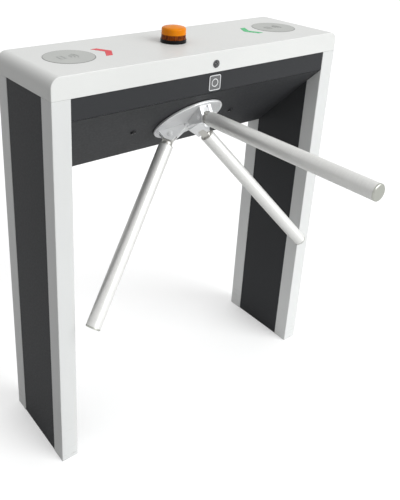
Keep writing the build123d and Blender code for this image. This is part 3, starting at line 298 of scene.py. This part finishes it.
def circuit_board():
    """Solder mask over copper runs, with pale pads."""
    g = Graph("circuit_board_mask")
    bricks = {"Vector": g.point, "Scale": 160.0, "Mortar Size": 0.06}
    tracks = g.add("ShaderNodeTexBrick", bricks).outputs["Fac"]
    runs = g.remap(g.noise(1.0, 1.0, 0.5, g.scaled(420.0, 30.0, 60.0)), 0.5, 0.53)
    pads = g.remap(g.cells(230.0), 0.12, 0.16, 1.0, 0.0)
    base = g.mix(runs, (0.008, 0.11, 0.045), (0.02, 0.20, 0.085))
    base = g.mix(g.sums("MULTIPLY", tracks, 0.3), base, (0.01, 0.07, 0.03))
    base = g.mix(pads, base, (0.62, 0.60, 0.50))
    gloss = g.remap(pads, 0.0, 1.0, 0.28, 0.42)
    normal = g.bump(g.sums("ADD", runs, pads), 0.00008, 0.6)
    return g.finish(base, gloss, g.sums("MULTIPLY", pads, 0.8), normal)


def reader_face():
    """Grey moulded disc with a dark line round its rim, partly dirt in the gap and partly painted
    shade of the gap, and a slightly shaded raised symbol.
    """
    g = Graph("reader_plastic")
    fine = g.noise(1300.0, 2.0, 0.6)
    cloud = g.noise(24.0, 3.0, 0.5)
    base = g.mix(g.remap(cloud, 0.3, 0.7), (0.39, 0.40, 0.385), (0.43, 0.44, 0.42))
    height = g.part_of(UP)
    raised = g.remap(height, LID_TOP + 0.00062, LID_TOP + 0.00085)
    base = g.mix(g.sums("MULTIPLY", raised, 0.75), base, (0.30, 0.31, 0.30))
    # Dark line round each reader's rim: partly dirt in the gap, partly painted shade where the gap
    # would be.
    rim_dirt_and_shade_rings = []
    for side in (-1, 1):
        radius = g.radius_from(UP, (side * READER_X, 0.0, LID_TOP))
        inside = g.remap(radius, READER_R - 0.0019, READER_R - 0.0007)
        near = g.remap(radius, READER_R + 0.02, READER_R + 0.021, 1.0, 0.0)
        rim_dirt_and_shade_rings.append(g.sums("MULTIPLY", inside, near))
    rim = g.sums("MAXIMUM", rim_dirt_and_shade_rings[0], rim_dirt_and_shade_rings[1])
    base = g.mix(g.sums("MULTIPLY", rim, 0.85), base, (0.10, 0.10, 0.10))
    gloss = g.remap(cloud, 0.3, 0.7, 0.40, 0.52)
    normal = g.bump(fine, 0.00006, 0.5, g.soft_edge(0.0004))
    return g.finish(base, gloss, 0.0, normal)


def arrow_lens(name, colour, deep):
    """Translucent lens with a fine prism pattern under its face."""
    g = Graph(name)
    prisms = g.cells(520.0)
    cloud = g.noise(30.0, 3.0, 0.5)
    base = g.mix(g.remap(prisms, 0.0, 0.7), colour, deep)
    base = g.mix(g.remap(cloud, 0.35, 0.7, 0.0, 0.3), base, shade(colour, 0.8))
    gloss = g.remap(cloud, 0.3, 0.7, 0.22, 0.34)
    normal = g.bump(prisms, 0.00008, 0.4, g.soft_edge(0.0004))
    return g.finish(base, gloss, 0.0, normal, Specular_IOR_Level=0.12)


def beacon_plastic(name, band_top):
    """Amber moulding: bright crown, and under band_top a ribbed band over the dark socket."""
    g = Graph(name)
    cloud = g.noise(40.0, 3.0, 0.5)
    flecks = g.cells(900.0)
    crown = g.mix(g.remap(cloud, 0.3, 0.7), (0.74, 0.215, 0.002), (0.84, 0.275, 0.003))
    crown = g.mix(g.remap(flecks, 0.0, 0.8, 0.0, 0.25), crown, (0.62, 0.14, 0.002))
    height = g.part_of(UP)
    band = g.remap(height, band_top - 0.0015, band_top + 0.0008, 1.0, 0.0)
    ribs = g.remap(g.noise(1.0, 1.0, 0.5, g.scaled(420.0, 420.0, 30.0)), 0.35, 0.65)
    base = g.mix(band, crown, g.mix(ribs, (0.06, 0.010, 0.001), (0.30, 0.062, 0.002)))
    gloss = g.remap(cloud, 0.3, 0.7, 0.10, 0.20)
    fine = g.noise(260.0, 2.0, 0.5)
    normal = g.bump(fine, 0.00006, 0.3)
    return g.finish(
        base, gloss, 0.0, normal, Transmission_Weight=0.12, IOR=1.49, Specular_IOR_Level=0.06
    )


def lamp_board(name):
    """White solder mask on the lamp's inner post, with a faint print line for each row of lamps."""
    g = Graph(name)
    cloud = g.noise(120.0, 3.0, 0.5)
    wave = g.add("ShaderNodeTexWave", {"Vector": g.point, "Scale": 110.0}, bands_direction="Z")
    rows = wave.outputs["Fac"]
    base = g.mix(g.remap(cloud, 0.3, 0.7), (0.62, 0.60, 0.52), (0.72, 0.70, 0.62))
    base = g.mix(g.remap(rows, 0.92, 0.98, 0.0, 0.6), base, (0.30, 0.28, 0.22))
    normal = g.bump(rows, 0.00008, 0.4)
    return g.finish(base, g.remap(cloud, 0.3, 0.7, 0.3, 0.45), 0.0, normal)


def lock_face():
    """Dark key rotor with turned rings and a pale worn track round its slot."""
    g = Graph("lock_rotor_face")
    radius = g.radius_from(INTO_CABINET, LOCK_FACE)
    ring = g.noise(4200.0, 2.0, 0.6, g.vector(radius))
    worn = g.remap(g.noise(420.0, 3.0, 0.6), 0.48, 0.60)
    base = g.mix(g.remap(ring, 0.35, 0.65), (0.020, 0.020, 0.021), (0.035, 0.035, 0.037))
    base = g.mix(g.sums("MULTIPLY", worn, 0.8), base, (0.50, 0.50, 0.50))
    # Painted highlight: corners lighter than the dark rotor.
    base = g.mix(g.edges(0.0004), base, (0.30, 0.30, 0.30))
    gloss = g.remap(worn, 0.0, 1.0, 0.22, 0.36)
    return g.finish(base, gloss, 1.0, g.bump(ring, 0.00002, 0.5))


def badge_metal():
    """Die-cast plate: brushed rim and ring standing out of a dark enamelled field."""
    g = Graph("badge_brushed")
    brushed = g.noise(1.0, 3.0, 0.6, g.scaled(60.0, 60.0, 4200.0))
    speck = g.noise(900.0, 2.0, 0.6)
    sunk = g.remap(g.part_of(INTO_CABINET), BADGE_FIELD_Y - 0.0001, BADGE_FIELD_Y + 0.0001)
    metal = g.mix(g.remap(brushed, 0.35, 0.65), (0.70, 0.71, 0.72), (0.86, 0.87, 0.88))
    enamel = g.mix(g.remap(speck, 0.35, 0.65), (0.10, 0.102, 0.105), (0.14, 0.142, 0.146))
    base = g.mix(sunk, metal, enamel)
    gloss = g.sums("ADD", g.remap(brushed, 0.3, 0.7, 0.26, 0.36), g.sums("MULTIPLY", sunk, 0.05))
    normal = g.bump(brushed, 0.00003, 0.4, g.soft_edge(0.0004))
    return g.finish(base, gloss, g.remap(sunk, 0.0, 1.0, 0.85, 0.0), normal)


PALE_SCUFF = (0.27, 0.26, 0.25)
WHITE = powder_coat(
    "white_coat_powder", (0.625, 0.632, 0.628), rough=0.40, grain=1100.0,
    scuff=PALE_SCUFF, edge_wear_and_highlight=(0.80, 0.80, 0.80), gleam=0.3,
)
# The lid's lighter edge tone paints a bright highlight along its edges, on top of wear.
LID = powder_coat(
    "lid_coat_powder", (0.655, 0.660, 0.648), rough=0.40, grain=1100.0,
    scuff=PALE_SCUFF, edge_wear_and_highlight=(0.86, 0.86, 0.85), gleam=0.3,
)
DARK = powder_coat(
    "dark_coat_powder", (0.0315, 0.0326, 0.035), rough=0.55, grain=900.0,
    scuff=(0.085, 0.08, 0.075), edge_wear_and_highlight=(0.06, 0.062, 0.065), gleam=0.15,
)
ZINC = sheet_metal("zinc_plate", (0.60, 0.62, 0.64), rough=0.38)
TIN_BOX = sheet_metal("supply_case_plate", (0.66, 0.66, 0.65), rough=0.42, spangle=60.0)
HUB = turned_metal(
    "hub_satin", (0.76, 0.765, 0.77), 0.32, HUB_AXIS, HUB_POINT,
    grooves=3200.0, cool=(0.68, 0.69, 0.72), metal=SATIN_METAL,
)
RACE = turned_metal("bearing_ground", (0.74, 0.75, 0.76), 0.16, HUB_AXIS, HUB_POINT)
GEAR = turned_metal(
    "gear_machined", (0.42, 0.42, 0.43), 0.34, HUB_AXIS, HUB_POINT, grooves=2400.0
)
CAST = cast_metal("housing_cast")
BLACK = moulded("black_moulding", (0.004, 0.004, 0.0042), rough=0.30, Specular_IOR_Level=0.14)
RUBBER = moulded("rubber_ring", (0.022, 0.022, 0.023), rough=0.68, grain=900.0)
SCREW = moulded(
    "screw_black_cap", (0.003, 0.003, 0.0035), rough=0.30, grain=2600.0, Specular_IOR_Level=0.3
)
LOCK = turned_metal(
    "lock_nickel", (0.10, 0.10, 0.105), 0.24, INTO_CABINET, LOCK_FACE, grooves=4200.0
)
RED_ARROW = arrow_lens("red_arrow_plastic", (0.72, 0.040, 0.058), (0.62, 0.028, 0.040))
GREEN_ARROW = arrow_lens("green_arrow_plastic", (0.030, 0.52, 0.17), (0.020, 0.43, 0.14))

finishes = {
    WHITE: ("left_front_post", "left_rear_post", "right_front_post", "right_rear_post"),
    LID: ("lid_shell",),
    DARK: (
        "left_outer_panel", "left_inner_panel", "right_outer_panel", "right_inner_panel",
        "upper_front_cover", "sloping_front_cover", "rear_cover",
    ),
    ZINC: (
        "base_plates", "beam_end_plates", "front_rail", "lower_rail", "mechanism_plate",
        "frame_bolts", "pivot_posts",
    ),
    TIN_BOX: ("power_supply",),
    RACE: ("bearing_outer_rings", "bearing_inner_rings", "bearing_balls"),
    HUB: ("hub_flange", "hub_yoke", "hub_cap", "arm_pivot_pins"),
    GEAR: (
        "hub_shaft", "index_cam", "lock_disc", "main_gear", "damper_pinion", "index_lever",
        "left_pawl", "right_pawl",
    ),
    CAST: ("bearing_housing", "damper_body"),
    BLACK: ("beacon_base", "index_roller", "lock_magnets", "rotation_sensor"),
    RUBBER: ("cable_grommet",),
    SCREW: ("cover_screws",),
    LOCK: ("lock_barrel",),
    lock_face(): ("lock_rotor",),
    badge_metal(): ("blank_badge",),
    circuit_board(): ("control_board",),
    reader_face(): ("reader_covers",),
    RED_ARROW: ("red_arrow_lens",),
    GREEN_ARROW: ("green_arrow_lens",),
}
for arm, axis in ARM_AXES.items():
    finishes[satin_tube(f"{arm}_satin", axis)] = (f"{arm}_tube",)
    forged = turned_metal(
        f"{arm}_forged", (0.56, 0.55, 0.52), 0.36, axis, HUB_POINT,
        grooves=2600.0, metal=FORGED_METAL,
    )
    face = turned_metal(
        f"{arm}_cap_turned", (0.50, 0.51, 0.465), 0.34, axis, HUB_POINT,
        grooves=3600.0, depth=0.00004, cool=(0.42, 0.435, 0.39),
    )
    finishes[forged] = (f"{arm}_root",)
    finishes[face] = (f"{arm}_cap",)

for material, names in finishes.items():
    for name in names:
        NODES[name].data.materials.clear()
        NODES[name].data.materials.append(material)

# ---- beacon: ribbed lens and the lamp post inside it ----
LENS_LOW, LENS_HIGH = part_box("beacon_lens")
LENS_FOOT = LENS_LOW[2] + 0.0002
LENS_CROWN = LENS_HIGH[2] - 0.0032
LENS_R = (LENS_HIGH[0] - LENS_LOW[0]) / 2 - 0.0001
LENS_WALL = 0.002
FLANGE = 0.0022  # height of the foot flange under its corner
CORNER = 0.0003
NECK_FOOT = LENS_FOOT + 0.0027
BAND_R = LENS_R - 0.0009
BAND_FOOT = LENS_FOOT + 0.0034
BAND_TOP = BAND_FOOT + 0.0085
SHOULDER_R = LENS_R - 0.0004
BEAD = 0.0016  # height of the bead over the ribbed band
BEAD_STEP = 0.0004
BROW_OUT = SHOULDER_R - 0.0005
BROW_R = 0.0060  # round of the crown's edge
BROW_TURN = 74.0  # degrees of that round before the crown takes over
CROWN_RISE = 0.0032  # the crown is a low dome
CROWN_EXTRA = 0.001  # how much thicker it is than the wall
BROW_FOOT = LENS_CROWN - CROWN_RISE - BROW_R
GROOVE = 0.00022  # depth of the crown's rings
RIBS = 48
RIB_DEPTH = 0.0007
RIB_FADE = 0.0012  # over this height the ribs grow from nothing
STEPS_PER_RIB = 8


def lathe(name, section, steps, ribs=None):
    """A closed piece turned about the beacon's centre line from a loop of (radius, height)."""
    mesh = bmesh.new()
    rings = []
    for radius, height in section:
        if radius == 0.0:
            rings.append([mesh.verts.new((BEACON_X, 0.0, height))])
            continue
        ring = []
        for step in range(steps):
            angle = math.tau * step / steps
            reach = radius + (ribs(angle, radius, height) if ribs else 0.0)
            across, back = reach * math.cos(angle), reach * math.sin(angle)
            ring.append(mesh.verts.new((BEACON_X + across, back, height)))
        rings.append(ring)
    for lower, upper in zip(rings, rings[1:] + rings[:1]):
        if len(lower) == 1 and len(upper) == 1:
            continue
        for step in range(steps):
            after = (step + 1) % steps
            corners = [lower[step % len(lower)], lower[after % len(lower)]]
            corners += [upper[after % len(upper)], upper[step % len(upper)]]
            mesh.faces.new(list(dict.fromkeys(corners))).smooth = True
    return placed(name, mesh)


def placed(name, mesh, sharp=35.0):
    """Turns a bmesh into an object with outward faces and crisp corners."""
    bmesh.ops.recalc_face_normals(mesh, faces=mesh.faces)
    data = bpy.data.meshes.new(name)
    mesh.to_mesh(data)
    mesh.free()
    data.set_sharp_from_angle(angle=math.radians(sharp))
    made = bpy.data.objects.new(name, data)
    bpy.context.scene.collection.objects.link(made)
    return made


def lens_section():
    """Foot flange, ribbed band, bead, rounded edge, ringed crown, then the inside back down."""
    outer = [
        (LENS_R - CORNER, LENS_FOOT), (LENS_R, LENS_FOOT + CORNER), (LENS_R, LENS_FOOT + FLANGE),
        (LENS_R - CORNER, LENS_FOOT + FLANGE + CORNER), (BAND_R, NECK_FOOT),
    ]
    rows = 8
    band = BAND_TOP - BAND_FOOT
    outer += [(BAND_R, BAND_FOOT + band * row / rows) for row in range(rows + 1)]
    bead = BAND_TOP + BEAD
    outer += [
        (SHOULDER_R - CORNER, BAND_TOP + BEAD_STEP), (SHOULDER_R, BAND_TOP + 2 * BEAD_STEP),
        (SHOULDER_R, bead), (BROW_OUT, bead + BEAD_STEP), (BROW_OUT, (bead + BROW_FOOT) / 2),
    ]
    turns = 8
    for turn in range(turns + 1):
        angle = math.radians(BROW_TURN) * turn / turns
        inward = BROW_R * (1 - math.cos(angle))
        outer.append((BROW_OUT - inward, BROW_FOOT + BROW_R * math.sin(angle)))
    edge_r, edge_z = outer[-1]
    rings = 36
    for ring in range(1, rings):
        part = 1 - ring / rings
        dome = edge_z + (LENS_CROWN - edge_z) * (1 - part * part)
        outer.append((edge_r * part, dome - GROOVE * (ring % 4 == 2)))
    outer.append((0.0, LENS_CROWN))
    inner_r = BAND_R - RIB_DEPTH - LENS_WALL
    ceiling = BROW_FOOT + BROW_R - LENS_WALL - CROWN_EXTRA
    inside_edge = inner_r - BROW_R
    inner = [(0.0, ceiling + CROWN_RISE)]
    for part in (0.3, 0.6):
        inner.append((inside_edge * part, ceiling + CROWN_RISE * (1 - part * part)))
    for turn in range(turns + 1):
        angle = math.radians(90.0) * (1 - turn / turns)
        drop = BROW_R * (1 - math.sin(angle))
        inner.append((inside_edge + BROW_R * math.cos(angle), ceiling - drop))
    return outer + inner + [(inner_r, LENS_FOOT)]


def rib_offset(angle, radius, height):
    """Rounded upright ribs with sharp valleys, fading out at both ends of the band."""
    if radius < BAND_R - RIB_DEPTH or not BAND_FOOT <= height <= BAND_TOP:
        return 0.0
    fade = min(1.0, (height - BAND_FOOT) / RIB_FADE, (BAND_TOP - height) / RIB_FADE)
    return -RIB_DEPTH * fade * (1 - abs(math.sin(RIBS * angle / 2)))


lens = lathe("beacon_ribbed_lens", lens_section(), RIBS * STEPS_PER_RIB, rib_offset)
lens.data.materials.append(beacon_plastic("amber_lens_plastic", BAND_TOP))
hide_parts("beacon_lens")
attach(lens, "lid")

POST_R = 0.0085
POST_TOP = LENS_CROWN - 0.0115
POST_FOOT_R = POST_R + 0.004
POST_FOOT = 0.0015
POST_CHAMFER = 0.0012
post_section = [
    (0.0, LENS_FOOT), (POST_FOOT_R, LENS_FOOT), (POST_FOOT_R, LENS_FOOT + POST_FOOT),
    (POST_R, LENS_FOOT + 2 * POST_FOOT), (POST_R, POST_TOP - POST_CHAMFER),
    (POST_R - POST_CHAMFER, POST_TOP), (0.0, POST_TOP),
]
post = lathe("beacon_lamp_post", post_section, 48)
post.data.materials.append(lamp_board("beacon_lamp_post_mask"))
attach(post, "lid")


def lamp_chips(rows, count):
    """Small square lamps in rings round the post, each a chamfered block with a domed face."""
    mesh = bmesh.new()
    half, thick, bevel, dome, sunk = 0.0013, 0.0007, 0.0002, 0.0005, 0.0002
    first_row, pitch = LENS_FOOT + 0.0062, 0.0058
    # The block from its root to its domed face: distance out, half width.
    steps = ((0.0, half), (thick, half), (thick + bevel, half * 0.8), (thick + dome, half * 0.35))
    square = ((-1, -1), (1, -1), (1, 1), (-1, 1))
    for row in range(rows):
        height = first_row + row * pitch
        for index in range(count):
            angle = math.tau * (index + 0.5 * (row % 2)) / count
            out = Vector((math.cos(angle), math.sin(angle), 0.0))
            along = Vector((-out.y, out.x, 0.0))
            foot = Vector((BEACON_X, 0.0, height)) + out * (POST_R - sunk)
            layers = []
            for reach, size in steps:
                centre = foot + out * reach
                layers.append([
                    mesh.verts.new(centre + along * (size * x) + Vector((0.0, 0.0, size * z)))
                    for x, z in square
                ])
            for lower, upper in zip(layers, layers[1:]):
                for corner in range(4):
                    after = (corner + 1) % 4
                    mesh.faces.new((lower[corner], lower[after], upper[after], upper[corner]))
            mesh.faces.new(layers[-1])
            mesh.faces.new(layers[0][::-1])
    return placed("beacon_lamp_chips", mesh)


chips = lamp_chips(rows=3, count=8)
chips.data.materials.append(
    moulded("lamp_chip_resin", (0.80, 0.52, 0.06), rough=0.25, grain=2200.0)
)
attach(chips, "lid")

# ---- floor, light and camera ----
FLOOR_HALF = 30.0
PAPER_GLOW = 0.30  # lifts the shadows on the floor
PALE_PAPER = 0.95  # what the floor throws back at the object in front of it and to its right
PAINTED_SHADE_PAPER = 0.26  # and on its left, darker as painted shade, standing in for a flag that keeps the light off
PAINTED_SHADE_FROM, PAINTED_SHADE_TO = -0.52, -0.34  # X over which that painted shade ends
MIRRORED_PAPER = 0.80  # what it throws back into reflections
WHITE_LIGHT = (1.0, 1.0, 1.0, 1.0)

floor_mesh = bpy.data.meshes.new("studio_floor")
corners = [(x * FLOOR_HALF, y * FLOOR_HALF, 0.0) for x, y in ((-1, -1), (1, -1), (1, 1), (-1, 1))]
floor_mesh.from_pydata(corners, [], [(0, 1, 2, 3)])
floor = bpy.data.objects.new("studio_floor", floor_mesh)
bpy.context.scene.collection.objects.link(floor)
floor_graph = Graph("studio_floor_paper")
paper = floor_graph.noise(2.0, 3.0, 0.5)
grain = floor_graph.remap(paper, 0.3, 0.7)
seen_floor = floor_graph.mix(grain, (0.73, 0.73, 0.73), (0.74, 0.74, 0.74))
rays = floor_graph.add("ShaderNodeLightPath").outputs
across = floor_graph.part_of((1.0, 0.0, 0.0))
thrown = floor_graph.remap(across, PAINTED_SHADE_FROM, PAINTED_SHADE_TO, PAINTED_SHADE_PAPER, PALE_PAPER)
thrown = floor_graph.add("ShaderNodeCombineColor", {0: thrown, 1: thrown, 2: thrown}).outputs[0]
other = floor_graph.mix(rays["Is Diffuse Ray"], (MIRRORED_PAPER,) * 3, thrown)
glow_seen = floor_graph.sums("MULTIPLY", rays["Is Camera Ray"], PAPER_GLOW)
floor_finish = floor_graph.finish(
    floor_graph.mix(rays["Is Camera Ray"], other, seen_floor), 0.9, 0.0, None,
    Specular_IOR_Level=0.0, Emission_Color=WHITE_LIGHT,
)
floor_shader = floor_graph.out.inputs[0].links[0].from_node
floor_graph.tree.links.new(glow_seen, floor_shader.inputs["Emission Strength"])
floor_mesh.materials.append(floor_finish)

# The studio is darkest low down and brightest along SKY_TOP. Each row is where the change starts
# and ends along it, and the two levels: first for light on faces, then for reflections.
SKY_TOP = (0.15, 0.05, 0.99)
SKY_LEVELS = ((0.05, 0.38, 0.04, 0.84), (-0.15, 0.45, 0.55, 0.86))

world = bpy.data.worlds.new("studio")
bpy.context.scene.world = world
world.use_nodes = True
tree = world.node_tree
tree.nodes.clear()
place = tree.nodes.new("ShaderNodeTexCoord")
height = tree.nodes.new("ShaderNodeVectorMath")
height.operation = "DOT_PRODUCT"
tree.links.new(place.outputs["Generated"], height.inputs[0])
height.inputs[1].default_value = SKY_TOP
seen = tree.nodes.new("ShaderNodeLightPath")
levels = []
for low, high, dim, bright in SKY_LEVELS:
    ramp = tree.nodes.new("ShaderNodeMapRange")
    ramp.interpolation_type = "SMOOTHSTEP"
    tree.links.new(height.outputs["Value"], ramp.inputs[0])
    for index, value in ((1, low), (2, high), (3, dim), (4, bright)):
        ramp.inputs[index].default_value = value
    levels.append(ramp.outputs[0])
level_for_ray = tree.nodes.new("ShaderNodeMix")
tree.links.new(seen.outputs["Is Glossy Ray"], level_for_ray.inputs[0])
tree.links.new(levels[0], level_for_ray.inputs[2])
tree.links.new(levels[1], level_for_ray.inputs[3])
glow = tree.nodes.new("ShaderNodeBackground")
tree.links.new(level_for_ray.outputs[0], glow.inputs["Strength"])
plain = tree.nodes.new("ShaderNodeBackground")
plain.inputs["Strength"].default_value = 1.0
for background in (glow, plain):
    background.inputs["Color"].default_value = WHITE_LIGHT
choice = tree.nodes.new("ShaderNodeMixShader")
tree.links.new(seen.outputs["Is Camera Ray"], choice.inputs[0])
tree.links.new(glow.outputs[0], choice.inputs[1])
tree.links.new(plain.outputs[0], choice.inputs[2])
last = tree.nodes.new("ShaderNodeOutputWorld")
tree.links.new(choice.outputs[0], last.inputs[0])


def soft_sun(name, source, strength, spread, tint):
    """Even light from one direction, as from a very large softbox."""
    data = bpy.data.lights.new(name, "SUN")
    data.energy = strength
    data.color = tint
    data.angle = math.radians(spread)
    lamp = bpy.data.objects.new(name, data)
    bpy.context.scene.collection.objects.link(lamp)
    lamp.rotation_mode = "QUATERNION"
    lamp.rotation_quaternion = Vector(source).to_track_quat("Z", "Y")


soft_sun(
    "front_softbox", source=(0.36, -0.82, 0.44), strength=2.5, spread=50.0, tint=(0.985, 1.0, 1.0)
)

CAMERA_AT = (-1.0230, -1.2281, 1.4138)
YAW, PITCH, ROLL = (math.radians(angle) for angle in (37.099, 22.512, 1.803))
FOCAL = 631.21  # in units of the frame's 500 pixel height
FRAME_W, FRAME_H = 400.0, 500.0
CENTRE = (150.0, 147.0)  # where the lens axis meets the frame
SENSOR = 36.0

ahead = math.cos(PITCH)
forward = Vector((math.sin(YAW) * ahead, math.cos(YAW) * ahead, -math.sin(PITCH)))
level = Vector((math.cos(YAW), -math.sin(YAW), 0.0))
upright = level.cross(forward)
right = level * math.cos(ROLL) + upright * math.sin(ROLL)
above = upright * math.cos(ROLL) - level * math.sin(ROLL)
camera_data = bpy.data.cameras.new("photo_view")
camera = bpy.data.objects.new("photo_view", camera_data)
bpy.context.scene.collection.objects.link(camera)
turn = Matrix((right, above, -forward)).transposed().to_4x4()
camera.matrix_world = Matrix.Translation(CAMERA_AT) @ turn
camera_data.sensor_width = SENSOR
camera_data.lens = FOCAL * SENSOR / FRAME_H
camera_data.shift_x = (FRAME_W / 2 - CENTRE[0]) / FRAME_H
camera_data.shift_y = (CENTRE[1] - FRAME_H / 2) / FRAME_H
camera_data.clip_start, camera_data.clip_end = 0.05, 100.0
bpy.context.scene.camera = camera
bpy.context.scene.view_settings.view_transform = "Standard"
